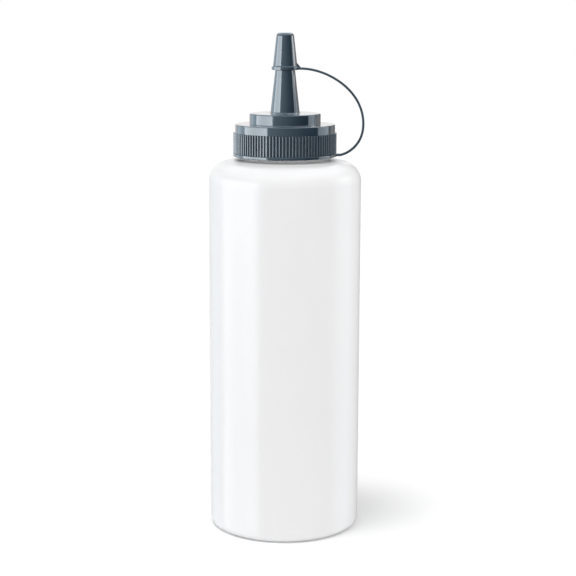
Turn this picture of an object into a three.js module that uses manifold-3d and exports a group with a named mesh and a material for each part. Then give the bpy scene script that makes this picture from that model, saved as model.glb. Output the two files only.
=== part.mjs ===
// Squeeze bottle: a blow-moulded bottle with a screw closure, a spout and a tip cap on a strap.
// Millimetres, +Z up. The origin is the centre of the base, and the strap is on the +X side.

import * as THREE from "three";
import { mergeVertices } from "three/addons/utils/BufferGeometryUtils.js";
import Module from "manifold-3d";

const wasm = await Module();
wasm.setup();

// Bottle
const bodyRadius = 40;
const bottleWall = 1.2;
const sideTopZ = 185.6;
const baseCornerRadius = 3.5;
const standRingWidth = 6;
const pushUpHeight = 4.5;
const shoulderRadius = 10.5;
const shoulderSlope = THREE.MathUtils.degToRad(10);
const neckRadius = 23.3;
const neckWall = 1.3;
const neckHeight = 14.95;
const neckFillet = 1.2;
const mouthChamfer = 0.3;

// Thread of the neck and the closure: one right-hand start
const threadPitch = 4.2;
const threadDepth = 1.2;
const ridgeRootWidth = 2.2;
const ridgeCrestWidth = 1.1;
const neckThreadTurns = 1.5;
const closureThreadTurns = 1.25;
const threadBelowMouth = 1.9;
const flankGap = 0.35;
const crestClearance = 0.4;
const threadRunOut = THREE.MathUtils.degToRad(24);

// Gap between two pieces that rest on each other
const seatGap = 0.3;

// Sealing ring between the mouth and the closure
const sealThickness = 1;

// Closure: bead, ribbed skirt, smooth band, deck, raised disc and nozzle
const skirtClearance = 0.5;
const skirtWall = 1.2;
const skirtAboveShoulder = 1.35;
const ribCount = 100;
const ribDepth = 0.8;
const beadHeight = 1.6;
const beadProud = 0.25;
const beadRounding = 0.35;
const smoothBandHeight = 4.5;
const deckThickness = 1.5;
const deckRounding = 0.6;
const discRadius = 18.65;
const discHeight = 5.6;
const discWall = 1.5;
const discRounding = 0.7;
const discFillet = 0.3;
const nozzleFootRadius = 7.7;
const nozzleTipRadius = 3.2;
const nozzleHeight = 39.9;
const nozzleWall = 1.3;
const nozzleFillet = 0.9;
const nozzleTipRounding = 0.4;

// Tip cap
const coverLength = 17.6;
const tipCapWall = 1.1;
const tipCapTop = 1.2;
const tipCapRounding = 2;
const rimHeight = 1.8;
const rimProud = 0.45;
const rimRounding = 0.25;
const gussetWidth = 1.2;
const gussetHeight = 3.9;
const gussetReach = 1.1;

// Strap: a flat band that runs out of the tip cap's rim, round a belly and into the closure's bead
const strapThickness = 1.25;
const strapWidth = 2;
const strapRootLength = 1.3;
const strapRootRise = 0.1;
const strapReach = 13.6;
const strapBellyRise = 16;
const strapTopHandle = 13.5;
const strapUpperHandle = 17.7;
const strapLowerHandle = 12.1;
const strapBottomHandle = 2.4;

// Fineness of the round surfaces
const roundSteps = 60;
const tipSteps = 40;
const ridgeStepsPerTurn = 40;
const strapSteps = 28;

// Heights and radii that follow from the sizes above
const shoulderCentreR = bodyRadius - shoulderRadius;
const shoulderTurn = Math.PI / 2 - shoulderSlope;
const slopeStartR = shoulderCentreR + shoulderRadius * Math.cos(shoulderTurn);
const slopeStartZ = sideTopZ + shoulderRadius * Math.sin(shoulderTurn);
const neckBaseZ = slopeStartZ + (slopeStartR - neckRadius) * Math.tan(shoulderSlope);
const mouthZ = neckBaseZ + neckHeight;
const mouthRadius = neckRadius - neckWall;
const sealBottomZ = mouthZ + seatGap;
const deckUndersideZ = sealBottomZ + sealThickness + seatGap;
const deckZ = deckUndersideZ + deckThickness;
const skirtBottomZ = neckBaseZ + skirtAboveShoulder;
const ribTopZ = deckZ - smoothBandHeight;
const skirtInnerRadius = neckRadius + threadDepth + skirtClearance;
const skirtRadius = skirtInnerRadius + skirtWall;
const ribRadius = skirtRadius + ribDepth;
const beadRadius = ribRadius + beadProud;
const discZ = deckZ + discHeight;
const nozzleTipZ = discZ + nozzleHeight;
const rimBottomZ = nozzleTipZ - coverLength;
const tipCapTopZ = nozzleTipZ + seatGap + tipCapTop;
const rimRadius = nozzleRadiusAt(rimBottomZ) + seatGap + tipCapWall + rimProud;
const strapTopZ = rimBottomZ + strapRootRise + strapThickness / 2;
const strapBottomZ = skirtBottomZ + strapThickness / 2;

// Radius of the nozzle's cone at a height
function nozzleRadiusAt(z) {
  const taper = (nozzleFootRadius - nozzleTipRadius) / nozzleHeight;
  return nozzleFootRadius - (z - discZ) * taper;
}

// Points (radius, height) on an arc, with the angles counted from +r towards +z
function arc(centreR, centreZ, radius, fromAngle, toAngle, steps) {
  const points = [];
  for (let i = 0; i <= steps; i++) {
    const angle = fromAngle + ((toAngle - fromAngle) * i) / steps;
    points.push(new THREE.Vector2(centreR + radius * Math.cos(angle), centreZ + radius * Math.sin(angle)));
  }
  return points;
}

function point(r, z) {
  return new THREE.Vector2(r, z);
}

// A closed mesh as a solid that can be joined and cut
function solidOf(geometry) {
  const bare = geometry.clone();
  bare.deleteAttribute("normal");
  bare.deleteAttribute("uv");
  const merged = mergeVertices(bare, 1e-4);
  const corners = merged.index.array;
  const triangles = [];
  for (let i = 0; i < corners.length; i += 3) {
    const [a, b, c] = [corners[i], corners[i + 1], corners[i + 2]];
    if (a !== b && b !== c && c !== a) {
      triangles.push(a, b, c);
    }
  }
  return new wasm.Manifold(
    new wasm.Mesh({
      numProp: 3,
      vertProperties: merged.attributes.position.array,
      triVerts: new Uint32Array(triangles),
    }),
  );
}

// A solid back as a geometry
function geometryOf(solid) {
  const mesh = solid.getMesh();
  const geometry = new THREE.BufferGeometry();
  geometry.setAttribute("position", new THREE.BufferAttribute(mesh.vertProperties, 3));
  geometry.setIndex(new THREE.BufferAttribute(mesh.triVerts, 1));
  geometry.computeVertexNormals();
  return geometry;
}

// A profile of (radius, height) points turned about the Z axis
function turned(profile, steps) {
  return solidOf(new THREE.LatheGeometry(profile, steps).rotateX(Math.PI / 2));
}

// A shape drawn in x and z, with a width that is centred on y = 0
function slab(shape, width) {
  const geometry = new THREE.ExtrudeGeometry(shape, { depth: width, bevelEnabled: false, curveSegments: 1 });
  return solidOf(geometry.rotateX(Math.PI / 2).translate(0, width / 2, 0));
}

// One helical ridge: its section is a trapezoid that sinks into the wall at both ends
function threadRidge({ wallRadius, crestRadius, startZ, turns }) {
  const sunk = Math.sign(wallRadius - crestRadius) * 0.4;
  const steps = Math.round(turns * ridgeStepsPerTurn);
  const fullAngle = turns * 2 * Math.PI;
  const positions = [];
  const faces = [];
  for (let i = 0; i <= steps; i++) {
    const angle = (fullAngle * i) / steps;
    const nearEnd = Math.min(angle, fullAngle - angle) / threadRunOut;
    const height = Math.min(1, 0.1 + 0.9 * nearEnd);
    const z = startZ + (threadPitch * angle) / (2 * Math.PI);
    const crest = wallRadius + (crestRadius - wallRadius) * height;
    const section = [
      [wallRadius + sunk, z - ridgeRootWidth / 2],
      [crest, z - ridgeCrestWidth / 2],
      [crest, z + ridgeCrestWidth / 2],
      [wallRadius + sunk, z + ridgeRootWidth / 2],
    ];
    for (const [r, sectionZ] of section) {
      positions.push(r * Math.cos(angle), r * Math.sin(angle), sectionZ);
    }
  }
  const inward = crestRadius < wallRadius;
  const addFace = (a, b, c) => (inward ? faces.push(a, c, b) : faces.push(a, b, c));
  for (let i = 0; i < steps; i++) {
    for (let side = 0; side < 4; side++) {
      const a = 4 * i + side;
      const b = 4 * i + ((side + 1) % 4);
      addFace(a, a + 4, b);
      addFace(b, a + 4, b + 4);
    }
  }
  const last = 4 * steps;
  addFace(0, 1, 2);
  addFace(0, 2, 3);
  addFace(last, last + 2, last + 1);
  addFace(last, last + 3, last + 2);
  const geometry = new THREE.BufferGeometry();
  geometry.setAttribute("position", new THREE.Float32BufferAttribute(positions, 3));
  geometry.setIndex(faces);
  return solidOf(geometry);
}

// The height of the neck's ridge where it starts, and of the closure's ridge that hooks under it
const neckRidgeZ = mouthZ - threadBelowMouth - neckThreadTurns * threadPitch;
const ridgeWidthWhereTheyMeet = (ridgeRootWidth + ridgeCrestWidth) / 2;
const closureRidgeZ = neckRidgeZ - ridgeWidthWhereTheyMeet * 0.8 - flankGap;

// Underside of the base: a shallow dome inside the ring that the bottle stands on
function pushUp(height) {
  const domeRadius = bodyRadius - baseCornerRadius - standRingWidth;
  const points = [];
  for (let i = 0; i <= 4; i++) {
    const share = i / 4;
    points.push(point(domeRadius * share, height + pushUpHeight * (1 - share * share)));
  }
  return points;
}

// Fillet between the sloping shoulder and the upright neck
function neckFilletArc() {
  const centreR = neckRadius + neckFillet;
  const slopeZ = slopeStartZ + (slopeStartR - centreR) * Math.tan(shoulderSlope);
  const centreZ = slopeZ + neckFillet / Math.cos(shoulderSlope);
  return arc(centreR, centreZ, neckFillet, 1.5 * Math.PI - shoulderSlope, Math.PI, 3);
}

function bottle() {
  const cornerR = bodyRadius - baseCornerRadius;
  const outside = [
    ...pushUp(0),
    ...arc(cornerR, baseCornerRadius, baseCornerRadius, -Math.PI / 2, 0, 4),
    ...arc(shoulderCentreR, sideTopZ, shoulderRadius, 0, shoulderTurn, 6),
    ...neckFilletArc(),
    point(neckRadius, mouthZ - mouthChamfer),
    point(neckRadius - mouthChamfer, mouthZ),
  ];
  const innerShoulder = shoulderRadius - bottleWall;
  const innerSlopeR = shoulderCentreR + innerShoulder * Math.cos(shoulderTurn);
  const innerSlopeZ = sideTopZ + innerShoulder * Math.sin(shoulderTurn);
  const innerNeckZ = innerSlopeZ + (innerSlopeR - mouthRadius) * Math.tan(shoulderSlope);
  const inside = [
    point(mouthRadius, mouthZ),
    point(mouthRadius, innerNeckZ),
    ...arc(shoulderCentreR, sideTopZ, innerShoulder, shoulderTurn, 0, 5),
    ...arc(cornerR, baseCornerRadius, baseCornerRadius - bottleWall, 0, -Math.PI / 2, 3),
    ...pushUp(bottleWall).reverse(),
  ];
  const shell = turned([...outside, ...inside], roundSteps);
  const ridge = threadRidge({
    wallRadius: neckRadius,
    crestRadius: neckRadius + threadDepth,
    startZ: neckRidgeZ,
    turns: neckThreadTurns,
  });
  return shell.add(ridge);
}

function sealRing() {
  const outerRadius = skirtInnerRadius - seatGap;
  const top = sealBottomZ + sealThickness;
  const profile = [
    point(mouthRadius, sealBottomZ),
    point(outerRadius, sealBottomZ),
    point(outerRadius, top),
    point(mouthRadius, top),
    point(mouthRadius, sealBottomZ),
  ];
  return turned(profile, roundSteps);
}

// The grip: upright ribs all round, which stand on the skirt's wall
function ribs() {
  const sunkRadius = skirtRadius - skirtWall / 4;
  const outline = new THREE.Shape();
  const pitchAngle = (2 * Math.PI) / ribCount;
  const corners = [
    [0, sunkRadius],
    [0.16, ribRadius],
    [0.5, ribRadius],
    [0.66, sunkRadius],
  ];
  for (let i = 0; i < ribCount; i++) {
    for (const [share, radius] of corners) {
      const angle = (i + share) * pitchAngle;
      const [x, y] = [radius * Math.cos(angle), radius * Math.sin(angle)];
      if (i === 0 && share === 0) {
        outline.moveTo(x, y);
      } else {
        outline.lineTo(x, y);
      }
    }
  }
  const hole = new THREE.Path();
  hole.absarc(0, 0, skirtRadius - skirtWall / 2, 0, 2 * Math.PI, true);
  outline.holes.push(hole);
  const bottom = skirtBottomZ + beadHeight / 2;
  const options = { depth: ribTopZ - bottom, bevelEnabled: false, curveSegments: roundSteps / 2 };
  return solidOf(new THREE.ExtrudeGeometry(outline, options).translate(0, 0, bottom));
}

// Short stub of the strap at each end, moulded on the piece that carries it
function strapRoot(fromR, toR, centreZ) {
  const half = strapThickness / 2;
  const shape = new THREE.Shape([
    point(fromR, centreZ - half),
    point(toR, centreZ - half),
    point(toR, centreZ + half),
    point(fromR, centreZ + half),
  ]);
  return slab(shape, strapWidth);
}

function screwCap() {
  const right = Math.PI / 2;
  const beadTopZ = skirtBottomZ + beadHeight;
  const discUndersideZ = discZ - deckThickness;
  const boreFootRadius = nozzleRadiusAt(discUndersideZ) - nozzleWall;
  const boreTipRadius = nozzleTipRadius - nozzleWall;
  const filletFootRadius = nozzleRadiusAt(discZ + nozzleFillet) + nozzleFillet;
  const outside = [
    point(skirtInnerRadius, skirtBottomZ),
    ...arc(beadRadius - beadRounding, skirtBottomZ + beadRounding, beadRounding, -right, 0, 3),
    ...arc(beadRadius - beadRounding, beadTopZ - beadRounding, beadRounding, 0, right, 3),
    point(skirtRadius, beadTopZ),
    ...arc(skirtRadius - deckRounding, deckZ - deckRounding, deckRounding, 0, right, 3),
    point(discRadius + discFillet, deckZ),
    point(discRadius, deckZ + discFillet),
    ...arc(discRadius - discRounding, discZ - discRounding, discRounding, 0, right, 3),
    ...arc(filletFootRadius, discZ + nozzleFillet, nozzleFillet, 3 * right, 2 * right, 3),
    ...arc(nozzleTipRadius - nozzleTipRounding, nozzleTipZ - nozzleTipRounding, nozzleTipRounding, 0, right, 2),
  ];
  const inside = [
    point(boreTipRadius, nozzleTipZ),
    point(boreFootRadius, discUndersideZ),
    point(discRadius - discWall, discUndersideZ),
    point(discRadius - discWall, deckUndersideZ),
    point(skirtInnerRadius, deckUndersideZ),
    point(skirtInnerRadius, skirtBottomZ),
  ];
  const shell = turned([...outside, ...inside], roundSteps);
  const ridge = threadRidge({
    wallRadius: skirtInnerRadius,
    crestRadius: neckRadius + crestClearance,
    startZ: closureRidgeZ,
    turns: closureThreadTurns,
  });
  const root = strapRoot(skirtRadius, beadRadius + strapRootLength, strapBottomZ);
  return shell.add(ribs()).add(ridge).add(root);
}

// The strap's middle line, from the tip cap's stub to the closure's stub
function strapLine() {
  const startX = rimRadius + strapRootLength + seatGap;
  const endX = beadRadius + strapRootLength + seatGap;
  const bellyX = beadRadius + strapReach;
  const bellyZ = strapBottomZ + strapBellyRise;
  const line = new THREE.CurvePath();
  line.add(
    new THREE.CubicBezierCurve(
      point(startX, strapTopZ),
      point(startX + strapTopHandle, strapTopZ),
      point(bellyX, bellyZ + strapUpperHandle),
      point(bellyX, bellyZ),
    ),
  );
  line.add(
    new THREE.CubicBezierCurve(
      point(bellyX, bellyZ),
      point(bellyX, bellyZ - strapLowerHandle),
      point(endX + strapBottomHandle, strapBottomZ),
      point(endX, strapBottomZ),
    ),
  );
  return line;
}

function tetherStrap() {
  const above = [];
  const below = [];
  for (const curve of strapLine().curves) {
    for (let i = above.length ? 1 : 0; i <= strapSteps; i++) {
      const middle = curve.getPoint(i / strapSteps);
      const along = curve.getTangent(i / strapSteps);
      const across = point(-along.y, along.x).multiplyScalar(strapThickness / 2);
      above.push(middle.clone().add(across));
      below.push(middle.clone().sub(across));
    }
  }
  return slab(new THREE.Shape([...below, ...above.reverse()]), strapWidth);
}

// A web that stiffens the strap's root against the tip cap's wall
function gusset() {
  const strapTop = strapTopZ + strapThickness / 2;
  const topZ = rimBottomZ + gussetHeight;
  const shape = new THREE.Shape([
    point(nozzleRadiusAt(strapTop) + seatGap + tipCapWall / 2, strapTop - strapThickness / 2),
    point(rimRadius + gussetReach, strapTop - strapThickness / 2),
    point(rimRadius + gussetReach, strapTop),
    point(nozzleRadiusAt(topZ) + seatGap + tipCapWall / 2, topZ + tipCapWall / 2),
  ]);
  return slab(shape, gussetWidth);
}

function tipCap() {
  const right = Math.PI / 2;
  const outerRadiusAt = (z) => nozzleRadiusAt(z) + seatGap + tipCapWall;
  const rimTopZ = rimBottomZ + rimHeight;
  const cornerZ = tipCapTopZ - tipCapRounding;
  const cornerR = outerRadiusAt(cornerZ) - tipCapRounding;
  const profile = [
    point(0, nozzleTipZ + seatGap),
    point(nozzleTipRadius + seatGap, nozzleTipZ + seatGap),
    point(nozzleRadiusAt(rimBottomZ) + seatGap, rimBottomZ),
    ...arc(rimRadius - rimRounding, rimBottomZ + rimRounding, rimRounding, -right, 0, 2),
    ...arc(rimRadius - rimRounding, rimTopZ - rimRounding, rimRounding, 0, right, 2),
    point(outerRadiusAt(rimTopZ), rimTopZ),
    ...arc(cornerR, cornerZ, tipCapRounding, 0, right, 5),
    point(0, tipCapTopZ),
  ];
  const root = strapRoot(rimRadius - rimProud, rimRadius + strapRootLength, strapTopZ);
  return turned(profile, tipSteps).add(root).add(gusset());
}

// Materials
function frostedPlastic() {
  return new THREE.MeshStandardMaterial({ color: 0xf3f5f6, roughness: 0.35, metalness: 0 });
}

function closurePlastic() {
  return new THREE.MeshStandardMaterial({ color: 0x50626f, roughness: 0.16, metalness: 0 });
}

function sealFoam() {
  return new THREE.MeshStandardMaterial({ color: 0xe8e8e4, roughness: 0.7, metalness: 0 });
}

function named(name, solid, material) {
  const mesh = new THREE.Mesh(geometryOf(solid), material);
  mesh.name = name;
  return mesh;
}

const squeezeBottle = new THREE.Group();
squeezeBottle.add(
  named("bottle", bottle(), frostedPlastic()),
  named("seal_ring", sealRing(), sealFoam()),
  named("screw_cap", screwCap(), closurePlastic()),
  named("tether_strap", tetherStrap(), closurePlastic()),
  named("tip_cap", tipCap(), closurePlastic()),
);

export default squeezeBottle;
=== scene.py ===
"""Squeeze bottle: frosted bottle, polished closure, nozzle, tip cap and strap, on a white studio floor."""

import math

import bmesh
import bpy
from bpy.props import FloatProperty, FloatVectorProperty, IntProperty, PointerProperty
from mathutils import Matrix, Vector


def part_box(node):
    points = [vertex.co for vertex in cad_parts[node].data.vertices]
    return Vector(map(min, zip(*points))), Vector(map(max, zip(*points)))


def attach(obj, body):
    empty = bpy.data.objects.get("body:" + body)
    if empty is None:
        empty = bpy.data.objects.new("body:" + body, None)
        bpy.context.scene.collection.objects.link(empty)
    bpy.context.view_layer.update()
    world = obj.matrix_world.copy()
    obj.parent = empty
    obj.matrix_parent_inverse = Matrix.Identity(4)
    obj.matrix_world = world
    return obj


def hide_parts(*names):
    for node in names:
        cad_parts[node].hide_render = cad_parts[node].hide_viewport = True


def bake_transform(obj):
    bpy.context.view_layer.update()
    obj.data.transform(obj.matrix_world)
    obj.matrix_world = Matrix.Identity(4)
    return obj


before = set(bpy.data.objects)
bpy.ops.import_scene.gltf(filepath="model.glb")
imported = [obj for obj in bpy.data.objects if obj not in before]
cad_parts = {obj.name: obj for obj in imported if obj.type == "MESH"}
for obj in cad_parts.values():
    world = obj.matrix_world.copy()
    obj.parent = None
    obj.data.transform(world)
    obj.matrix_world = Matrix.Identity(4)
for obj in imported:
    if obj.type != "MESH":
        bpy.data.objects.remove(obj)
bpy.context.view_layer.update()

bl_info = {
    "name": "Squeeze bottle",
    "version": (1, 0, 0),
    "blender": (4, 5, 0),
    "location": "View3D > Sidebar > Bottle",
    "description": "Models a squeeze bottle with a screw closure and a tethered tip cap",
    "category": "Add Mesh",
}

MM = 0.001
RIGHT_ANGLE = math.pi / 2
# Angle of the lowest point of an arc that turns on to an upright wall
BELOW = 1.5 * math.pi
# A vertex that is nearer than this to a place is at that place
SAME_PLACE = 0.01 * MM
# Vertices that are nearer than this to each other become one
MERGE_DISTANCE = 0.002 * MM
# From the end of a rounding to the ring of vertices that keeps the shading beside it even
SUPPORT = 0.3 * MM

bottle_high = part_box("bottle")[1]
cap_low, cap_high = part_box("screw_cap")
seal_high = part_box("seal_ring")[1]
tip_low, tip_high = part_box("tip_cap")


def length(name, description, default):
    """A length property, in metres."""
    return FloatProperty(
        name=name,
        description=description,
        default=default,
        min=0,
        precision=5,
        unit="LENGTH",
        subtype="DISTANCE",
    )


def colour(name, description, default):
    """A linear colour property."""
    return FloatVectorProperty(
        name=name, description=description, default=default, size=3, min=0, max=1, subtype="COLOR"
    )


def number(name, description, default, **limits):
    """A plain number property."""
    return FloatProperty(name=name, description=description, default=default, **limits)


def angle(name, description, degrees):
    """An angle property, whose default is given in degrees."""
    return FloatProperty(name=name, description=description, default=math.radians(degrees), unit="ROTATION")


class BottleSizes(bpy.types.PropertyGroup):
    """Sizes of the blow-moulded bottle."""

    body_radius: length("Body radius", "Outer radius of the round body", bottle_high.y)
    wall: length("Wall", "Thickness of the body's wall", 1.2 * MM)
    side_top: length("Side top", "Height where the shoulder's arc starts", 185.6 * MM)
    corner_radius: length("Corner radius", "Rounding between the side and the base", 3.5 * MM)
    ring_width: length("Standing ring", "Width of the flat ring that the bottle stands on", 6 * MM)
    push_up: length("Push-up", "Height of the dome under the base", 4.5 * MM)
    shoulder_radius: length("Shoulder radius", "Radius of the shoulder's arc", 10.5 * MM)
    shoulder_slope: angle("Shoulder slope", "Slope of the shoulder beside the neck", 10)
    neck_radius: length("Neck radius", "Outer radius of the neck", 23.3 * MM)
    neck_wall: length("Neck wall", "Thickness of the neck's wall", 1.3 * MM)
    neck_fillet: length("Neck fillet", "Rounding between shoulder and neck", 1.2 * MM)
    mouth_rounding: length("Mouth rounding", "Rounding of the mouth's outer edge", 0.3 * MM)
    sides: IntProperty(name="Sides", description="Sides of the round body", default=256, min=32, max=512)


class ThreadSizes(bpy.types.PropertyGroup):
    """Sizes of the thread on the neck and inside the closure."""

    pitch: length("Pitch", "Rise of the thread in one turn", 4.2 * MM)
    depth: length("Depth", "Height of the neck's ridge", 1.2 * MM)
    root_width: length("Root width", "Width of the ridge at the wall", 2.2 * MM)
    crest_width: length("Crest width", "Width of the ridge at its crest", 1.1 * MM)
    neck_turns: number("Neck turns", "Turns of the neck's ridge", 1.5, min=0.5)
    cap_turns: number("Closure turns", "Turns of the closure's ridge", 1.25, min=0.5)
    below_mouth: length("Below mouth", "From the mouth down to the ridge's end", 1.9 * MM)
    flank_gap: length("Flank gap", "Play between the two ridges", 0.35 * MM)
    crest_clearance: length("Crest clearance", "From the neck to the closure's crest", 0.4 * MM)


class ClosureSizes(bpy.types.PropertyGroup):
    """Sizes of the screw closure and its nozzle."""

    skirt_wall: length("Skirt wall", "Thickness of the skirt", 1.2 * MM)
    skirt_clearance: length("Skirt clearance", "From the neck's ridge to the skirt", 0.5 * MM)
    rib_depth: length("Rib depth", "How far the grip's ribs stand proud", 0.8 * MM)
    rib_count: IntProperty(name="Ribs", description="Ribs round the skirt", default=100, min=12, max=200)
    bead_height: length("Bead height", "Height of the bead at the skirt's foot", 1.6 * MM)
    bead_proud: length("Bead proud", "How far the bead stands out past the ribs", 0.25 * MM)
    bead_rounding: length("Bead rounding", "Rounding of the bead's edges", 0.35 * MM)
    smooth_band: length("Smooth band", "Height of the plain band above the ribs", 4.5 * MM)
    deck_thickness: length("Deck", "Thickness of the deck", 1.5 * MM)
    deck_rounding: length("Deck rounding", "Rounding of the deck's edge", 0.6 * MM)
    disc_radius: length("Disc radius", "Radius of the raised disc", 18.65 * MM)
    disc_height: length("Disc height", "Height of the raised disc", 5.6 * MM)
    disc_wall: length("Disc wall", "Thickness of the disc's wall", 1.5 * MM)
    disc_rounding: length("Disc rounding", "Rounding of the disc's edge", 0.7 * MM)
    disc_fillet: length("Disc fillet", "Rounding at the disc's foot", 0.3 * MM)
    nozzle_foot: length("Nozzle foot", "Radius of the nozzle's cone at the disc", 7.7 * MM)
    nozzle_tip: length("Nozzle tip", "Radius of the nozzle's cone at its tip", 3.2 * MM)
    nozzle_wall: length("Nozzle wall", "Thickness of the nozzle's wall", 1.3 * MM)
    nozzle_fillet: length("Nozzle fillet", "Rounding at the nozzle's foot", 0.9 * MM)
    nozzle_rounding: length("Nozzle rounding", "Rounding of the nozzle's tip", 0.4 * MM)


class TipCapSizes(bpy.types.PropertyGroup):
    """Sizes of the cap on the nozzle's tip."""

    seat_gap: length("Seat gap", "Gap between two pieces that rest on each other", 0.3 * MM)
    wall: length("Wall", "Thickness of the tip cap's wall", 1.1 * MM)
    rounding: length("Rounding", "Rounding of the top's edge", 2 * MM)
    rim_height: length("Rim height", "Height of the rim", 1.8 * MM)
    rim_proud: length("Rim proud", "How far the rim stands out", 0.45 * MM)
    rim_rounding: length("Rim rounding", "Rounding of the rim's edges", 0.25 * MM)
    web_width: length("Web width", "Thickness of the web over the strap's root", 1.2 * MM)
    web_height: length("Web height", "Height of the web above the rim's foot", 3.9 * MM)
    web_reach: length("Web reach", "How far the web runs out on the strap", 1.1 * MM)


class StrapSizes(bpy.types.PropertyGroup):
    """Sizes of the strap that holds the tip cap."""

    thickness: length("Thickness", "Thickness of the strap", 1.25 * MM)
    width: length("Width", "Width of the strap", 2 * MM)
    rounding: length("Rounding", "Rounding of the strap's edges", 0.4 * MM)
    root_rise: length("Root rise", "From the rim's foot up to the strap", 0.1 * MM)
    root_length: length("Root length", "Straight stub at each end", 1.3 * MM)
    reach: length("Reach", "From the bead out to the belly", 13.6 * MM)
    belly_rise: length("Belly rise", "Height of the belly above the bottom root", 16 * MM)
    top_handle: length("Top handle", "Length of the curve's handle at the tip cap", 13.5 * MM)
    upper_handle: length("Upper handle", "Length of the belly's handle upwards", 17.7 * MM)
    lower_handle: length("Lower handle", "Length of the belly's handle downwards", 12.1 * MM)
    bottom_handle: length("Bottom handle", "Length of the curve's handle at the bead", 2.4 * MM)


class Finishes(bpy.types.PropertyGroup):
    """Colours of the object."""

    frosted: colour("Frosted plastic", "Colour of the bottle", (0.92, 0.915, 0.915))
    frosted_cool: colour("Frosted plastic, cool", "Thin places of the bottle", (0.895, 0.895, 0.905))
    slate: colour("Slate plastic", "Colour of the closure", (0.016, 0.032, 0.048))
    slate_deep: colour("Slate plastic, deep", "Darker flow of the closure's colour", (0.012, 0.026, 0.041))
    foam: colour("Seal foam", "Colour of the sealing ring", (0.80, 0.80, 0.76))


class StageSizes(bpy.types.PropertyGroup):
    """Camera and light of the studio."""

    focal_length: number("Focal length", "Lens on a 36 mm sensor", 93.2, min=10)
    camera_distance: length("Camera distance", "From the bottle's axis to the camera", 780.7 * MM)
    camera_height: length("Camera height", "Height of the camera above the floor", 273 * MM)
    camera_side: length("Camera side", "Distance of the camera to the right of the axis", 1.4 * MM)
    camera_tilt: angle("Camera tilt", "Downward tilt", 10.5)
    camera_roll: angle("Camera roll", "Turn about the view axis", -0.17)
    ambient: number("Ambient", "Level of the light from all round", 0.64, min=0)


def sizes():
    """The scene's own copy of all the sizes and colours."""
    return bpy.context.scene.squeeze_bottle


class SqueezeBottleSettings(bpy.types.PropertyGroup):
    """All the sizes and colours of the squeeze bottle."""

    bottle: PointerProperty(type=BottleSizes)
    thread: PointerProperty(type=ThreadSizes)
    closure: PointerProperty(type=ClosureSizes)
    tip_cap: PointerProperty(type=TipCapSizes)
    strap: PointerProperty(type=StrapSizes)
    finish: PointerProperty(type=Finishes)
    stage: PointerProperty(type=StageSizes)


# Modelling helpers


def leave_edit_mode():
    """Back to object mode with nothing selected."""
    if bpy.context.object and bpy.context.object.mode == "EDIT":
        bpy.ops.object.mode_set(mode="OBJECT")
    bpy.ops.object.select_all(action="DESELECT")


def arc(centre_r, centre_z, radius, from_angle, to_angle, steps):
    """Points (radius, height) on an arc; angles count from outwards to upwards."""
    points = []
    for i in range(steps + 1):
        turn = from_angle + (to_angle - from_angle) * i / steps
        points.append((centre_r + radius * math.cos(turn), centre_z + radius * math.sin(turn)))
    return points


def ladder(radius, from_z, to_z, rungs):
    """Points (radius, height) up or down an upright wall, with rings close to its ends."""
    from_end = 0.8 * MM
    edge = math.copysign(from_end, to_z - from_z)
    inner = [from_z + edge + (to_z - from_z - 2 * edge) * i / rungs for i in range(rungs + 1)]
    return [(radius, z) for z in inner]


def pick_verts(piece, test):
    """Selects the vertices of the piece in edit mode for which the test holds."""
    bpy.ops.mesh.select_mode(type="VERT")
    bpy.ops.mesh.select_all(action="DESELECT")
    mesh = bmesh.from_edit_mesh(piece.data)
    for vert in mesh.verts:
        vert.select = test(vert)
    mesh.select_flush(True)
    bmesh.update_edit_mesh(piece.data)


def on_ring(radius, height):
    """A test for the vertices of one ring about the Z axis."""

    def test(vert):
        from_axis = math.hypot(vert.co.x, vert.co.y)
        return abs(vert.co.z - height) < SAME_PLACE and abs(from_axis - radius) < SAME_PLACE

    return test


def close_to_pole(height_step):
    """Extrudes the selected ring to a single vertex on the axis."""
    bpy.ops.mesh.extrude_region_move(TRANSFORM_OT_translate={"value": (0, 0, height_step)})
    bpy.ops.mesh.merge(type="CENTER")


def turn_places(piece, sides, places):
    """Turns the vertices of a ring so that they stand at given places within each of many equal sections."""
    step = 2 * math.pi / sides
    verts = bmesh.from_edit_mesh(piece.data).verts
    steps_round = [round(math.atan2(vert.co.y, vert.co.x) / step) for vert in verts]
    for order, place in enumerate(places):
        pick_verts(piece, lambda vert: steps_round[vert.index] % len(places) == order)
        turn = (place * len(places) - order) * step
        bpy.ops.transform.rotate(value=-turn, orient_axis="Z", center_override=(0, 0, 0))
    bpy.ops.mesh.select_all(action="SELECT")


def turned_piece(name, profile, sides, places=()):
    """Extrudes a ring of edges from point to point of a profile; a radius of 0 at its ends closes them."""
    leave_edit_mode()
    first = 1 if profile[0][0] == 0 else 0
    radius, height = profile[first]
    bpy.ops.mesh.primitive_circle_add(vertices=sides, radius=radius, location=(0, 0, height))
    piece = bpy.context.object
    piece.name = name
    bpy.ops.object.transform_apply(location=True, rotation=False, scale=False)
    bpy.ops.object.mode_set(mode="EDIT")
    bpy.ops.mesh.select_all(action="SELECT")
    turn_places(piece, sides, places)
    for (r0, z0), (r1, z1) in zip(profile[first:], profile[first + 1 :]):
        if r1 == 0:
            close_to_pole(z1 - z0)
            continue
        bpy.ops.mesh.extrude_region_move(TRANSFORM_OT_translate={"value": (0, 0, z1 - z0)})
        bpy.ops.transform.resize(value=(r1 / r0, r1 / r0, 1), center_override=(0, 0, z1))
    if first:
        pick_verts(piece, on_ring(radius, height))
        close_to_pole(profile[0][1] - height)
    bpy.ops.mesh.select_all(action="SELECT")
    bpy.ops.mesh.remove_doubles(threshold=MERGE_DISTANCE)
    bpy.ops.mesh.normals_make_consistent(inside=False)
    bpy.ops.object.mode_set(mode="OBJECT")
    return piece


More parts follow.
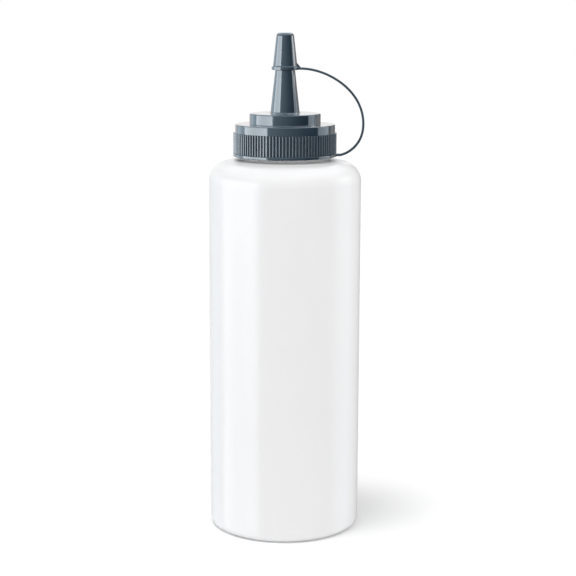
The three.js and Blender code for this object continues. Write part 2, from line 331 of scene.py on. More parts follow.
def smooth(piece, degrees):
    """Smooth shading, with edges sharper than the angle left crisp."""
    leave_edit_mode()
    piece.select_set(True)
    bpy.context.view_layer.objects.active = piece
    bpy.ops.object.shade_smooth_by_angle(angle=math.radians(degrees))


def join(piece, *others):
    """Makes the others part of the piece."""
    leave_edit_mode()
    for other in (piece, *others):
        other.select_set(True)
    bpy.context.view_layer.objects.active = piece
    bpy.ops.object.join()


def apply_modifier(piece, modifier):
    """Applies one modifier of the piece."""
    leave_edit_mode()
    piece.select_set(True)
    bpy.context.view_layer.objects.active = piece
    bpy.ops.object.modifier_apply(modifier=modifier.name)


def thread_ridge(name, wall_radius, crest_radius, start_height, turns):
    """A helical ridge with a trapezoid section, which runs out into the wall at both ends."""
    thread = sizes().thread
    steps_per_turn = 64
    run_out_steps = 5
    lowest_share = 0.1
    root_depth = 0.4 * MM
    outwards = math.copysign(1, crest_radius - wall_radius)
    sunk = wall_radius - outwards * root_depth
    leave_edit_mode()
    bpy.ops.mesh.primitive_plane_add(size=1, rotation=(RIGHT_ANGLE, 0, 0))
    ridge = bpy.context.object
    ridge.name = name
    bpy.ops.object.transform_apply(location=False, rotation=True, scale=False)
    bpy.ops.object.mode_set(mode="EDIT")
    for side, width in ((-1, thread.root_width), (1, thread.crest_width)):
        pick_verts(ridge, lambda vert: vert.co.x * side > 0)
        bpy.ops.transform.resize(value=(1, 1, width), center_override=(0, 0, 0))
    bpy.ops.mesh.select_all(action="SELECT")
    bpy.ops.transform.resize(value=(crest_radius - sunk, 1, 1), center_override=(0, 0, 0))
    bpy.ops.transform.translate(value=((crest_radius + sunk) / 2, 0, start_height))
    bpy.ops.mesh.delete(type="ONLY_FACE")
    bpy.ops.object.mode_set(mode="OBJECT")
    screw = ridge.modifiers.new("Screw", "SCREW")
    screw.axis = "Z"
    screw.angle = turns * 2 * math.pi
    screw.screw_offset = turns * thread.pitch
    screw.steps = screw.render_steps = round(turns * steps_per_turn)
    screw.use_merge_vertices = False
    apply_modifier(ridge, screw)
    bpy.ops.object.mode_set(mode="EDIT")
    middle = (sunk + crest_radius) / 2
    last = len(ridge.data.vertices) // 4 - 1
    for i in range(run_out_steps):
        share = lowest_share + (1 - lowest_share) * i / run_out_steps
        shrink = (wall_radius + (crest_radius - wall_radius) * share) / crest_radius
        rows = (i, last - i)

        def on_crest(vert):
            past_middle = (math.hypot(vert.co.x, vert.co.y) - middle) * outwards > 0
            return vert.index // 4 in rows and past_middle

        pick_verts(ridge, on_crest)
        bpy.ops.transform.resize(value=(shrink, shrink, 1), center_override=(0, 0, 0))
    bpy.ops.mesh.select_all(action="SELECT")
    bpy.ops.mesh.fill_holes(sides=4)
    bpy.ops.mesh.normals_make_consistent(inside=False)
    bpy.ops.object.mode_set(mode="OBJECT")
    return ridge


# Heights and radii that follow from the sizes


def shoulder_slope_start(wall=0.0):
    """(radius, height) where the shoulder's slope starts, outside or on a skin that lies a wall inside."""
    bottle = sizes().bottle
    turn = RIGHT_ANGLE - bottle.shoulder_slope
    radius = bottle.shoulder_radius - wall
    return (
        bottle.body_radius - bottle.shoulder_radius + radius * math.cos(turn),
        bottle.side_top + radius * math.sin(turn),
    )


def closure_heights():
    """Heights of the closure: skirt's foot, bead's top, ribs' top, deck's underside, deck, disc and tip."""
    closure = sizes().closure
    deck_under = seal_high.z + sizes().tip_cap.seat_gap
    deck = deck_under + closure.deck_thickness
    foot = cap_low.z
    return {
        "foot": foot,
        "bead_top": foot + closure.bead_height,
        "rib_top": deck - closure.smooth_band,
        "deck_under": deck_under,
        "deck": deck,
        "disc": deck + closure.disc_height,
        "tip": cap_high.z,
    }


def skirt_inner_radius():
    """Radius of the wall inside the closure's skirt."""
    return sizes().bottle.neck_radius + sizes().thread.depth + sizes().closure.skirt_clearance


def bead_radius():
    """Outer radius of the closure, at its bead."""
    closure = sizes().closure
    return skirt_inner_radius() + closure.skirt_wall + closure.rib_depth + closure.bead_proud


def nozzle_radius_at(height):
    """Outer radius of the nozzle's cone."""
    closure = sizes().closure
    disc_z = closure_heights()["disc"]
    taper = (closure.nozzle_foot - closure.nozzle_tip) / (cap_high.z - disc_z)
    return closure.nozzle_foot - (height - disc_z) * taper


def rim_radius():
    """Outer radius of the tip cap's rim."""
    tip_cap = sizes().tip_cap
    return nozzle_radius_at(tip_low.z) + tip_cap.seat_gap + tip_cap.wall + tip_cap.rim_proud


def neck_ridge_height():
    """Height where the neck's ridge starts."""
    thread = sizes().thread
    return bottle_high.z - thread.below_mouth - thread.neck_turns * thread.pitch


# Materials


def new_material(name, base_colour, roughness):
    """A material with a Principled shader; returns the material, its nodes, links and shader."""
    material = bpy.data.materials.new(name)
    material.use_nodes = True
    nodes, links = material.node_tree.nodes, material.node_tree.links
    shader = nodes["Principled BSDF"]
    shader.inputs["Base Color"].default_value = (*base_colour, 1)
    shader.inputs["Roughness"].default_value = roughness
    return material, nodes, links, shader


def ramp(nodes, links, value, ends, levels=(0, 1), soft=False, clamp=True):
    """Maps a value socket from one range to another. Returns the result's socket."""
    mapped = nodes.new("ShaderNodeMapRange")
    mapped.clamp = clamp
    if soft:
        mapped.interpolation_type = "SMOOTHSTEP"
    mapped.inputs["From Min"].default_value, mapped.inputs["From Max"].default_value = ends
    mapped.inputs["To Min"].default_value, mapped.inputs["To Max"].default_value = levels
    links.new(value, mapped.inputs["Value"])
    return mapped.outputs["Result"]


def noise_between(nodes, links, scale, stretch, levels, detail=3.0):
    """Object-space noise, mostly between two levels. A small stretch draws it out along that axis."""
    place = nodes.new("ShaderNodeTexCoord")
    mapping = nodes.new("ShaderNodeMapping")
    mapping.inputs["Scale"].default_value = stretch
    noise = nodes.new("ShaderNodeTexNoise")
    noise.inputs["Scale"].default_value = scale
    noise.inputs["Detail"].default_value = detail
    links.new(place.outputs["Object"], mapping.inputs["Vector"])
    links.new(mapping.outputs["Vector"], noise.inputs["Vector"])
    return ramp(nodes, links, noise.outputs["Fac"], ends=(0.3, 0.7), levels=levels, clamp=False)


def mix_colours(nodes, links, factor, first, second):
    """Mixes two colours, each a constant or a socket, by a factor socket. Returns the colour's socket."""
    mix = nodes.new("ShaderNodeMix")
    mix.data_type = "RGBA"
    for name, value in (("A", first), ("B", second)):
        if isinstance(value, bpy.types.NodeSocket):
            links.new(value, mix.inputs[name])
        else:
            mix.inputs[name].default_value = (*value, 1)
    links.new(factor, mix.inputs["Factor"])
    return mix.outputs["Result"]


def add_bump(nodes, links, shader, height, strength, distance):
    """A bump from a height socket."""
    bump = nodes.new("ShaderNodeBump")
    bump.inputs["Strength"].default_value = strength
    bump.inputs["Distance"].default_value = distance
    links.new(height, bump.inputs["Height"])
    links.new(bump.outputs["Normal"], shader.inputs["Normal"])


def milky_polyethylene():
    """Natural polyethylene: milky, a little uneven in its wall, with a soft sheen."""
    finish = sizes().finish
    material, nodes, links, shader = new_material("milky_polyethylene", finish.frosted, 0.2)
    shader.inputs["Specular IOR Level"].default_value = 0.28
    shader.inputs["Subsurface Weight"].default_value = 0.25
    shader.inputs["Subsurface Radius"].default_value = (1, 1, 1)
    shader.inputs["Subsurface Scale"].default_value = 4 * MM
    flow = noise_between(nodes, links, scale=22, stretch=(1, 1, 0.25), levels=(0, 0.35), detail=1)
    skin = mix_colours(nodes, links, flow, finish.frosted, finish.frosted_cool)
    links.new(skin, shader.inputs["Base Color"])
    # All below 0.27, because the denoiser draws an outline where a finish crosses that roughness
    haze = noise_between(nodes, links, scale=60, stretch=(1, 1, 0.4), levels=(0.235, 0.255))
    links.new(haze, shader.inputs["Roughness"])
    ripple = noise_between(nodes, links, scale=35, stretch=(1, 1, 0.3), levels=(0, 1), detail=0)
    add_bump(nodes, links, shader, ripple, strength=0.2, distance=0.03 * MM)
    return material


def slate_polypropylene():
    """Moulded slate blue-grey plastic, polished, with a faint flow in its colour."""
    finish = sizes().finish
    material, nodes, links, shader = new_material("slate_polypropylene", finish.slate, 0.12)
    shader.inputs["Specular IOR Level"].default_value = 0.5
    shader.inputs["Coat Weight"].default_value = 0.75
    shader.inputs["Coat Roughness"].default_value = 0.05
    flow = noise_between(nodes, links, scale=90, stretch=(1, 1, 0.5), levels=(0, 1))
    skin = mix_colours(nodes, links, flow, finish.slate, finish.slate_deep)
    links.new(skin, shader.inputs["Base Color"])
    polish = noise_between(nodes, links, scale=220, stretch=(1, 1, 1), levels=(0.10, 0.15))
    links.new(polish, shader.inputs["Roughness"])
    ripple = noise_between(nodes, links, scale=160, stretch=(1, 1, 1), levels=(0, 1), detail=1.5)
    add_bump(nodes, links, shader, ripple, strength=0.15, distance=0.02 * MM)
    return material


def foamed_polyethylene():
    """Matte foamed sealing ring with fine cells."""
    finish = sizes().finish
    material, nodes, links, shader = new_material("foamed_polyethylene", finish.foam, 0.7)
    cells = noise_between(nodes, links, scale=3000, stretch=(1, 1, 1), levels=(0, 1))
    cell_shade = 0.85
    darker = tuple(cell_shade * level for level in finish.foam)
    links.new(mix_colours(nodes, links, cells, finish.foam, darker), shader.inputs["Base Color"])
    add_bump(nodes, links, shader, cells, strength=0.4, distance=0.05 * MM)
    return material


def dress(piece, make_material):
    """Gives the piece its only material, made once and shared."""
    name = make_material.__name__
    material = bpy.data.materials.get(name) or make_material()
    piece.data.materials.clear()
    piece.data.materials.append(material)


# Pieces


def base_dome(lift, steps):
    """The base's shallow dome from its middle out to the standing ring."""
    bottle = sizes().bottle
    edge = bottle.body_radius - bottle.corner_radius - bottle.ring_width
    shares = [i / steps for i in range(steps + 1)]
    return [(edge * share, lift + bottle.push_up * (1 - share * share)) for share in shares]


def bottle_profile():
    """The bottle's section: up the outside to the mouth and down the inside."""
    bottle = sizes().bottle
    corner_r = bottle.body_radius - bottle.corner_radius
    shoulder_r = bottle.body_radius - bottle.shoulder_radius
    turn = RIGHT_ANGLE - bottle.shoulder_slope
    slope_r, slope_z = shoulder_slope_start()
    fillet_r = bottle.neck_radius + bottle.neck_fillet
    fillet_slope_z = slope_z + (slope_r - fillet_r) * math.tan(bottle.shoulder_slope)
    fillet_z = fillet_slope_z + bottle.neck_fillet / math.cos(bottle.shoulder_slope)
    mouth_z = bottle_high.z
    mouth_r = bottle.neck_radius - bottle.neck_wall
    lip = bottle.mouth_rounding
    inner_r, inner_z = shoulder_slope_start(bottle.wall)
    neck_foot_z = inner_z + (inner_r - mouth_r) * math.tan(bottle.shoulder_slope)
    return [
        *base_dome(0, steps=10),
        *arc(corner_r, bottle.corner_radius, bottle.corner_radius, -RIGHT_ANGLE, 0, steps=12),
        *ladder(bottle.body_radius, bottle.corner_radius, bottle.side_top, rungs=12),
        *arc(shoulder_r, bottle.side_top, bottle.shoulder_radius, 0, turn, steps=20),
        *arc(fillet_r, fillet_z, bottle.neck_fillet, BELOW - bottle.shoulder_slope, math.pi, steps=8),
        *arc(bottle.neck_radius - lip, mouth_z - lip, lip, 0, RIGHT_ANGLE, steps=3),
        *arc(mouth_r + lip, mouth_z - lip, lip, RIGHT_ANGLE, math.pi, steps=3),
        (mouth_r, neck_foot_z),
        *arc(shoulder_r, bottle.side_top, bottle.shoulder_radius - bottle.wall, turn, 0, steps=12),
        *arc(corner_r, bottle.corner_radius, bottle.corner_radius - bottle.wall, 0, -RIGHT_ANGLE, steps=6),
        *reversed(base_dome(bottle.wall, steps=6)),
    ]


class SQUEEZE_OT_bottle(bpy.types.Operator):
    """Models the blow-moulded bottle with its threaded neck"""

    bl_idname = "squeeze.bottle"
    bl_label = "Bottle"

    def execute(self, context):
        bottle, thread = sizes().bottle, sizes().thread
        shell = turned_piece("bottle_shell", bottle_profile(), bottle.sides)
        crest = bottle.neck_radius + thread.depth
        ridge = thread_ridge("neck_thread", bottle.neck_radius, crest, neck_ridge_height(), thread.neck_turns)
        join(shell, ridge)
        smooth(shell, degrees=32)
        dress(shell, milky_polyethylene)
        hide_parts("bottle")
        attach(shell, "bottle_body")
        return {"FINISHED"}


class SQUEEZE_OT_seal_ring(bpy.types.Operator):
    """Gives the sealing ring between mouth and closure its finish"""

    bl_idname = "squeeze.seal_ring"
    bl_label = "Seal ring"

    def execute(self, context):
        dress(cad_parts["seal_ring"], foamed_polyethylene)
        return {"FINISHED"}


# Places within one rib's pitch, as shares of it, and how far each stands out, from 0 to 1
RIB_PLACES = (-0.13, 0.13, 0.18, 0.25, 0.38, 0.62, 0.75, 0.82)
RIB_HEIGHTS = (0, 0, 0.45, 0.78, 1, 1, 0.78, 0.45)
# From the bead's top to the ribs' lowest ring, and from the ribs' top to the plain band's lowest rings
RIB_FOOT = 0.1 * MM
BAND_FOOT = (0.15 * MM, 0.5 * MM)


def closure_profile():
    """The closure's section: up the outside to the nozzle's tip, down its bore and down inside the skirt."""
    closure, z = sizes().closure, closure_heights()
    inner = skirt_inner_radius()
    skirt = inner + closure.skirt_wall
    bead, bead_edge = bead_radius(), closure.bead_rounding
    edge, lip, fillet = closure.deck_rounding, closure.nozzle_rounding, closure.nozzle_fillet
    disc, disc_edge, disc_fillet = closure.disc_radius, closure.disc_rounding, closure.disc_fillet
    disc_under = z["disc"] - closure.deck_thickness
    disc_inner = disc - closure.disc_wall
    foot_r = nozzle_radius_at(z["disc"] + fillet) + fillet
    bore_tip = closure.nozzle_tip - closure.nozzle_wall
    bore_foot = nozzle_radius_at(disc_under) - closure.nozzle_wall
    bead_seam = 0.02 * MM
    return [
        (inner, z["foot"]),
        *arc(bead - bead_edge, z["foot"] + bead_edge, bead_edge, -RIGHT_ANGLE, 0, steps=4),
        *arc(bead - bead_edge, z["bead_top"] - bead_edge, bead_edge, 0, RIGHT_ANGLE, steps=4),
        (skirt, z["bead_top"] + bead_seam),
        (skirt, z["bead_top"] + RIB_FOOT),
        (skirt, z["rib_top"] - SUPPORT),
        (skirt, z["rib_top"]),
        *[(skirt, z["rib_top"] + rise) for rise in BAND_FOOT],
        (skirt, z["deck"] - edge - SUPPORT),
        *arc(skirt - edge, z["deck"] - edge, edge, 0, RIGHT_ANGLE, steps=6),
        (skirt - edge - SUPPORT, z["deck"]),
        (disc + disc_fillet + SUPPORT, z["deck"]),
        *arc(disc + disc_fillet, z["deck"] + disc_fillet, disc_fillet, BELOW, math.pi, steps=4),
        (disc, z["disc"] - disc_edge - SUPPORT),
        *arc(disc - disc_edge, z["disc"] - disc_edge, disc_edge, 0, RIGHT_ANGLE, steps=6),
        (disc - disc_edge - SUPPORT, z["disc"]),
        (foot_r + SUPPORT, z["disc"]),
        *arc(foot_r, z["disc"] + fillet, fillet, BELOW, math.pi, steps=6),
        (nozzle_radius_at(z["disc"] + 2 * fillet), z["disc"] + 2 * fillet),
        (nozzle_radius_at(z["tip"] - 2 * lip), z["tip"] - 2 * lip),
        *arc(closure.nozzle_tip - lip, z["tip"] - lip, lip, 0, RIGHT_ANGLE, steps=4),
        (bore_tip, z["tip"]),
        (bore_foot, disc_under),
        (disc_inner, disc_under),
        (disc_inner, z["deck_under"]),
        (inner, z["deck_under"]),
        (inner, z["foot"]),
    ]


def raise_ribs(shell):
    """Pushes the skirt's wall out into ribs with rounded edges, one place of the ribs at a time."""
    closure, z = sizes().closure, closure_heights()
    skirt = skirt_inner_radius() + closure.skirt_wall
    pitch = 2 * math.pi / closure.rib_count
    low, high = z["bead_top"] + RIB_FOOT - SAME_PLACE, z["rib_top"] + SAME_PLACE
    same_share = 0.01
    bpy.ops.object.mode_set(mode="EDIT")
    for place, height in zip(RIB_PLACES, RIB_HEIGHTS):
        if height == 0:
            continue
        grow = (skirt + closure.rib_depth * height) / skirt

        def at_place(vert):
            from_wall = abs(math.hypot(vert.co.x, vert.co.y) - skirt)
            share = math.atan2(vert.co.y, vert.co.x) / pitch - place
            on_wall = low < vert.co.z < high and from_wall <= SAME_PLACE
            return on_wall and abs(share - round(share)) < same_share

        pick_verts(shell, at_place)
        bpy.ops.transform.resize(value=(grow, grow, 1), center_override=(0, 0, 0))
    bpy.ops.object.mode_set(mode="OBJECT")


class SQUEEZE_OT_screw_cap(bpy.types.Operator):
    """Models the closure: bead, ribbed skirt, deck, raised disc, nozzle and inner thread"""

    bl_idname = "squeeze.screw_cap"
    bl_label = "Screw closure"

    def execute(self, context):
        closure, thread = sizes().closure, sizes().thread
        sides = closure.rib_count * len(RIB_PLACES)
        shell = turned_piece("closure_shell", closure_profile(), sides, RIB_PLACES)
        raise_ribs(shell)
        crest = sizes().bottle.neck_radius + thread.crest_clearance
        meeting_width = (thread.root_width + thread.crest_width) / 2
        flank_share = 0.8
        start = neck_ridge_height() - meeting_width * flank_share - thread.flank_gap
        ridge = thread_ridge("closure_thread", skirt_inner_radius(), crest, start, thread.cap_turns)
        join(shell, ridge)
        smooth(shell, degrees=55)
        dress(shell, slate_polypropylene)
        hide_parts("screw_cap")
        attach(shell, "closure_body")
        return {"FINISHED"}


def tip_cap_profile():
    """The tip cap's section: the socket from its ceiling down, the rim, and the outside up to the top."""
    tip_cap = sizes().tip_cap
    gap, wall, lip = tip_cap.seat_gap, tip_cap.wall, tip_cap.rim_rounding
    rim_low, rim_high = tip_low.z, tip_low.z + tip_cap.rim_height
    ceiling = cap_high.z + gap
    corner_z = tip_high.z - tip_cap.rounding
    rim = rim_radius()
    near, far = 0.4 * MM, 0.8 * MM
    seam_out, seam_low, seam_high = 0.1 * MM, 0.03 * MM, 0.15 * MM
    wall_slope = math.radians(6)

    def outside(height):
        return nozzle_radius_at(height) + gap + wall

    corner_r = outside(corner_z) - tip_cap.rounding
    rings = (rim_high + near, rim_high + far, corner_z - far, corner_z - near)
    return [
        (0, ceiling),
        (sizes().closure.nozzle_tip + gap, ceiling),
        (nozzle_radius_at(rim_low) + gap, rim_low),
        *arc(rim - lip, rim_low + lip, lip, -RIGHT_ANGLE, 0, steps=4),
        *arc(rim - lip, rim_high - lip, lip, 0, RIGHT_ANGLE, steps=4),
        (outside(rim_high) + seam_out, rim_high + seam_low),
        (outside(rim_high), rim_high + seam_high),
        *[(outside(height), height) for height in rings],
        *arc(corner_r, corner_z, tip_cap.rounding, wall_slope, RIGHT_ANGLE, steps=10),
        (0, tip_high.z),
    ]


def strap_heights():
    """Heights of the strap's middle line at the tip cap and at the closure's bead."""
    strap = sizes().strap
    return tip_low.z + strap.root_rise + strap.thickness / 2, cap_low.z + strap.thickness / 2


def web_over_strap_root():
    """A small upright wedge between the tip cap's wall and the strap's root."""
    tip_cap, strap = sizes().tip_cap, sizes().strap
    strap_z = strap_heights()[0]
    strap_top = strap_z + strap.thickness / 2
    inner = nozzle_radius_at(strap_top) + tip_cap.seat_gap + tip_cap.wall / 2
    outer = rim_radius() + tip_cap.web_reach
    top = tip_low.z + tip_cap.web_height
    centre = ((inner + outer) / 2, 0, (strap_z + top) / 2)
    leave_edit_mode()
    bpy.ops.mesh.primitive_cube_add(size=1, location=centre)
    web = bpy.context.object
    web.name = "web"
    bpy.ops.object.transform_apply(location=True, rotation=False, scale=False)
    bpy.ops.object.mode_set(mode="EDIT")
    bpy.ops.transform.resize(value=(outer - inner, tip_cap.web_width, top - strap_z), center_override=centre)
    pick_verts(web, lambda vert: vert.co.x > centre[0] and vert.co.z > centre[2])
    bpy.ops.transform.translate(value=(0, 0, strap_top - top))
    bpy.ops.mesh.select_all(action="SELECT")
    bpy.ops.mesh.bevel(offset=0.2 * MM, segments=3, affect="EDGES")
    bpy.ops.object.mode_set(mode="OBJECT")
    return web


class SQUEEZE_OT_tip_cap(bpy.types.Operator):
    """Models the cap on the nozzle's tip, with its rim and the web over the strap's root"""

    bl_idname = "squeeze.tip_cap"
    bl_label = "Tip cap"

    def execute(self, context):
        shell = turned_piece("tip_cap_shell", tip_cap_profile(), sides=128)
        join(shell, web_over_strap_root())
        smooth(shell, degrees=40)
        dress(shell, slate_polypropylene)
        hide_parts("tip_cap")
        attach(shell, "tip_cap_body")
        return {"FINISHED"}


def strap_section():
    """The strap's section, a rectangle with rounded corners, as a closed curve."""
    strap = sizes().strap
    leave_edit_mode()
    bpy.ops.mesh.primitive_plane_add(size=1)
    section = bpy.context.object
    bpy.ops.object.mode_set(mode="EDIT")
    bpy.ops.mesh.select_all(action="SELECT")
    bpy.ops.transform.resize(value=(strap.width, strap.thickness, 1), center_override=(0, 0, 0))
    bpy.ops.mesh.bevel(offset=strap.rounding, segments=4, affect="VERTICES")
    bpy.ops.mesh.delete(type="ONLY_FACE")
    bpy.ops.object.mode_set(mode="OBJECT")
    bpy.ops.object.convert(target="CURVE")
    return section


def strap_line():
    """The strap's middle line: a curve through its two straight stubs and its belly."""
    strap = sizes().strap
    top_z, bottom_z = strap_heights()
    start_x = rim_radius() + strap.root_length
    end_x = bead_radius() + strap.root_length
    belly_x, belly_z = bead_radius() + strap.reach, bottom_z + strap.belly_rise
    sunk = stub = 0.5 * MM
    at_root, near_bead = 1.1, 1.08
    # Place, left handle, right handle and swelling of each point
    places = [
        ((rim_radius() - sunk, top_z), (stub, 0), (stub, 0), at_root),
        ((start_x, top_z), (stub, 0), (strap.top_handle, 0), 1),
        ((belly_x, belly_z), (0, strap.upper_handle), (0, -strap.lower_handle), 1),
        ((end_x, bottom_z), (strap.bottom_handle, 0), (-stub, 0), near_bead),
        ((bead_radius() - sunk, bottom_z), (stub, 0), (-stub, 0), at_root),
    ]
    leave_edit_mode()
    bpy.ops.curve.primitive_bezier_curve_add(location=(0, 0, 0))
    line = bpy.context.object
    line.data.resolution_u = 40
    points = line.data.splines[0].bezier_points
    points.add(len(places) - len(points))
    for bezier_point, ((x, z), (left_x, left_z), (right_x, right_z), radius) in zip(points, places):
        bezier_point.handle_left_type = bezier_point.handle_right_type = "FREE"
        bezier_point.co = (x, 0, z)
        side = -1 if bezier_point in (points[0], points[1]) else 1
        bezier_point.handle_left = (x + side * left_x, 0, z + left_z)
        bezier_point.handle_right = (x + right_x, 0, z + right_z)
        bezier_point.radius = radius
    return line


class SQUEEZE_OT_tether_strap(bpy.types.Operator):
    """Models the thin strap from the closure's bead to the tip cap's rim"""

    bl_idname = "squeeze.tether_strap"
    bl_label = "Tether strap"

    def execute(self, context):
        section = strap_section()
        band = strap_line()
        band.name = "tether_band"
        band.data.bevel_mode = "OBJECT"
        band.data.bevel_object = section
        band.data.use_fill_caps = True
        leave_edit_mode()
        band.select_set(True)
        bpy.context.view_layer.objects.active = band
        bpy.ops.object.convert(target="MESH")
        bpy.data.objects.remove(section)
        bpy.ops.object.mode_set(mode="EDIT")
        bpy.ops.mesh.select_all(action="SELECT")
        bpy.ops.mesh.remove_doubles(threshold=MERGE_DISTANCE)
        bpy.ops.mesh.normals_make_consistent(inside=False)
        bpy.ops.object.mode_set(mode="OBJECT")
        smooth(band, degrees=60)
        dress(band, slate_polypropylene)
        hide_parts("tether_strap")
        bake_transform(band)
        return {"FINISHED"}


# Stage

WHITE = (1, 1, 1)
# What gloss shows of the world, by the direction's parts: white behind, bright above, else from left to right
BEHIND, LEFT_TO_RIGHT, ABOVE = (0.70, 0.85), (-0.7, 0.8), (0.5, 0.6)
GLOSS_LEFT, GLOSS_RIGHT, GLOSS_ABOVE = (0.8, 0.9, 1.0), (0.12, 0.12, 0.12), (1.9, 2.2, 2.5)
# Whiteness of the floor as it lights the object and as the camera sees it, and its radius in metres
FLOOR_TO_OBJECT, FLOOR_TO_CAMERA, FLOOR_RADIUS = 0.86, 0.99, 6
# Panels: name, azimuths in degrees from the front to the right, heights and distance in metres, levels, tint
PANELS = (
    ("left_panel", (-104, -40), (-0.5, 0.5), 0.8, (5.7, 7.6), (0.90, 1.0, 1.07)),
    ("left_far", (-135, -105), (-0.5, 0.5), 0.8, (1.8, 1.8), (0.8, 1.0, 1.15)),
    ("right_panel", (80, 117), (-0.5, 0.5), 0.8, (1.9, 1.9), (0.88, 1.0, 1.09)),
    ("right_lamp", (92, 117), (0.315, 0.5), 0.75, (4.5, 4.5), WHITE),
    ("right_dark", (119, 165), (-0.5, 0.5), 0.8, (0.8, 0.0), WHITE),
    ("front_dark", (-39, 79), (0.148, 0.7), 0.5, (1.1, 0.05), (0.8, 1.0, 1.15)),
)
# Suns: name, direction in which the light travels, strength, angle in degrees
SUNS = (
    ("key_lamp", (0.24, 0.17, -1.5), 1.05, 17),
    ("left_low", (0.77, 0.64, -0.08), 0.36, 9),
    ("right_low", (-0.77, 0.64, -0.08), 0.42, 9),
    ("right_fill", (-1.0, 0.1, -0.25), 0.42, 90),
)


def stage_material(name):
    """A material that has no shader yet; returns the material, its nodes and links."""
    material = bpy.data.materials.new(name)
    material.use_nodes = True
    nodes, links = material.node_tree.nodes, material.node_tree.links
    nodes.remove(nodes["Principled BSDF"])
    return material, nodes, links


def reflected_panel(name, azimuths, heights, distance, levels, tint):
    """A bent upright panel that shows only in gloss, and fades from its first level to its second."""
    leave_edit_mode()
    low, high = heights
    bpy.ops.mesh.primitive_cylinder_add(
        vertices=360,
        radius=distance,
        depth=high - low,
        location=(0, 0, (low + high) / 2),
        end_fill_type="NOTHING",
    )
    panel = bpy.context.object
    panel.name = name
    bpy.ops.object.mode_set(mode="EDIT")
    bpy.ops.mesh.select_mode(type="FACE")
    mesh = bmesh.from_edit_mesh(panel.data)
    for face in mesh.faces:
        middle = face.calc_center_median()
        azimuth = math.degrees(math.atan2(middle.x, -middle.y))
        face.select = not azimuths[0] < azimuth < azimuths[1]
    bmesh.update_edit_mesh(panel.data)
    bpy.ops.mesh.delete(type="FACE")
    bpy.ops.object.mode_set(mode="OBJECT")
    panel.visible_camera = panel.visible_diffuse = panel.visible_shadow = False
    material, nodes, links = stage_material(name)
    glow = nodes.new("ShaderNodeEmission")
    glow.inputs["Color"].default_value = (*tint, 1)
    place = nodes.new("ShaderNodeTexCoord")
    parts = nodes.new("ShaderNodeSeparateXYZ")
    ends = [distance * math.sin(math.radians(azimuth)) for azimuth in azimuths]
    links.new(place.outputs["Object"], parts.inputs["Vector"])
    links.new(ramp(nodes, links, parts.outputs["X"], ends, levels), glow.inputs["Strength"])
    links.new(glow.outputs["Emission"], nodes["Material Output"].inputs["Surface"])
    panel.data.materials.append(material)


def studio_world():
    """White to the camera; level light for the object; in gloss, white behind and a cool fade in front."""
    world = bpy.data.worlds.new("studio")
    bpy.context.scene.world = world
    world.use_nodes = True
    nodes, links = world.node_tree.nodes, world.node_tree.links
    level = sizes().stage.ambient
    rays = nodes.new("ShaderNodeLightPath")
    direction = nodes.new("ShaderNodeTexCoord")
    parts = nodes.new("ShaderNodeSeparateXYZ")
    links.new(direction.outputs["Generated"], parts.inputs["Vector"])
    behind = ramp(nodes, links, parts.outputs["Y"], BEHIND, soft=True)
    to_right = ramp(nodes, links, parts.outputs["X"], LEFT_TO_RIGHT)
    above = ramp(nodes, links, parts.outputs["Z"], ABOVE, soft=True)
    fade = mix_colours(nodes, links, to_right, GLOSS_LEFT, GLOSS_RIGHT)
    level_gloss = mix_colours(nodes, links, behind, fade, WHITE)
    gloss = mix_colours(nodes, links, above, level_gloss, GLOSS_ABOVE)
    light = mix_colours(nodes, links, rays.outputs["Is Glossy Ray"], (level, level, level), gloss)
    seen = nodes.new("ShaderNodeMath")
    seen.operation = "MAXIMUM"
    links.new(rays.outputs["Is Camera Ray"], seen.inputs[0])
    links.new(rays.outputs["Is Transmission Ray"], seen.inputs[1])
    shown = mix_colours(nodes, links, seen.outputs["Value"], light, WHITE)
    links.new(shown, nodes["Background"].inputs["Color"])


def studio_floor():
    """A wide white floor that keeps the object's soft shadow."""
    leave_edit_mode()
    bpy.ops.mesh.primitive_circle_add(vertices=96, radius=FLOOR_RADIUS, fill_type="NGON")
    floor = bpy.context.object
    floor.name = "floor"
    floor.visible_glossy = False
    material, nodes, links = stage_material("floor")
    rays = nodes.new("ShaderNodeLightPath")
    paint = nodes.new("ShaderNodeBsdfDiffuse")
    white = ramp(nodes, links, rays.outputs["Is Camera Ray"], (0, 1), (FLOOR_TO_OBJECT, FLOOR_TO_CAMERA))
    links.new(white, paint.inputs["Color"])
    links.new(paint.outputs["BSDF"], nodes["Material Output"].inputs["Surface"])
    floor.data.materials.append(material)


def soft_sun(name, towards, strength, degrees):
    """Even soft light that travels towards a direction. It doesn't show in gloss."""
    leave_edit_mode()
    bpy.ops.object.light_add(type="SUN", location=(0, 0, 1))
    sun = bpy.context.object
    sun.name = name
    sun.data.energy = strength
    sun.data.angle = math.radians(degrees)
    sun.rotation_euler = Vector(towards).to_track_quat("-Z", "Y").to_euler()
    sun.visible_glossy = False


def studio_camera():
    """The camera at the photograph's angle."""
    stage = sizes().stage
    leave_edit_mode()
    bpy.ops.object.camera_add(location=(stage.camera_side, -stage.camera_distance, stage.camera_height))
    camera = bpy.context.object
    camera.name = "camera"
    camera.rotation_mode = "XYZ"
    camera.rotation_euler = (RIGHT_ANGLE - stage.camera_tilt, stage.camera_roll, 0)
    camera.data.lens = stage.focal_length
    camera.data.sensor_width = 36
    bpy.context.scene.camera = camera


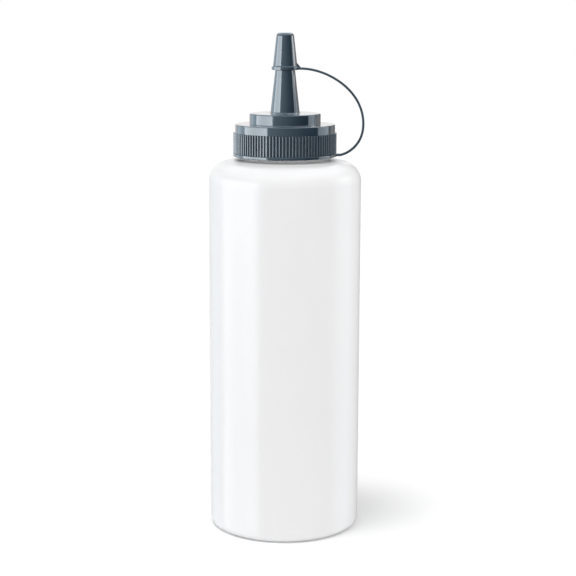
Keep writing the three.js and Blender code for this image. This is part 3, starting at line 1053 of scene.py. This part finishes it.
class SQUEEZE_OT_stage(bpy.types.Operator):
    """Sets up the floor, the light and the camera"""

    bl_idname = "squeeze.stage"
    bl_label = "Studio stage"

    def execute(self, context):
        context.scene.view_settings.view_transform = "Standard"
        studio_world()
        studio_floor()
        for panel in PANELS:
            reflected_panel(*panel)
        for sun in SUNS:
            soft_sun(*sun)
        studio_camera()
        return {"FINISHED"}


class SQUEEZE_PT_panel(bpy.types.Panel):
    """Buttons for each piece of the squeeze bottle"""

    bl_idname = "SQUEEZE_PT_panel"
    bl_label = "Squeeze bottle"
    bl_space_type = "VIEW_3D"
    bl_region_type = "UI"
    bl_category = "Bottle"

    def draw(self, context):
        settings = context.scene.squeeze_bottle
        for name in ("bottle", "thread", "closure", "tip_cap", "strap", "finish", "stage"):
            box = self.layout.box()
            box.label(text=name.replace("_", " ").capitalize())
            group = getattr(settings, name)
            for key in group.__annotations__:
                box.prop(group, key)
        for operator in OPERATORS:
            self.layout.operator(operator.bl_idname)


OPERATORS = (
    SQUEEZE_OT_bottle,
    SQUEEZE_OT_seal_ring,
    SQUEEZE_OT_screw_cap,
    SQUEEZE_OT_tip_cap,
    SQUEEZE_OT_tether_strap,
    SQUEEZE_OT_stage,
)

GROUPS = (
    BottleSizes,
    ThreadSizes,
    ClosureSizes,
    TipCapSizes,
    StrapSizes,
    Finishes,
    StageSizes,
    SqueezeBottleSettings,
)


def register():
    """Registers the property groups, the operators and the panel."""
    for item in (*GROUPS, *OPERATORS, SQUEEZE_PT_panel):
        bpy.utils.register_class(item)
    bpy.types.Scene.squeeze_bottle = PointerProperty(type=SqueezeBottleSettings)


def unregister():
    """Removes what register added."""
    del bpy.types.Scene.squeeze_bottle
    for item in reversed((*GROUPS, *OPERATORS, SQUEEZE_PT_panel)):
        bpy.utils.unregister_class(item)


def main():
    """Builds the bottle and its stage."""
    register()
    bpy.ops.squeeze.bottle()
    bpy.ops.squeeze.seal_ring()
    bpy.ops.squeeze.screw_cap()
    bpy.ops.squeeze.tip_cap()
    bpy.ops.squeeze.tether_strap()
    bpy.ops.squeeze.stage()


if __name__ == "__main__":
    main()
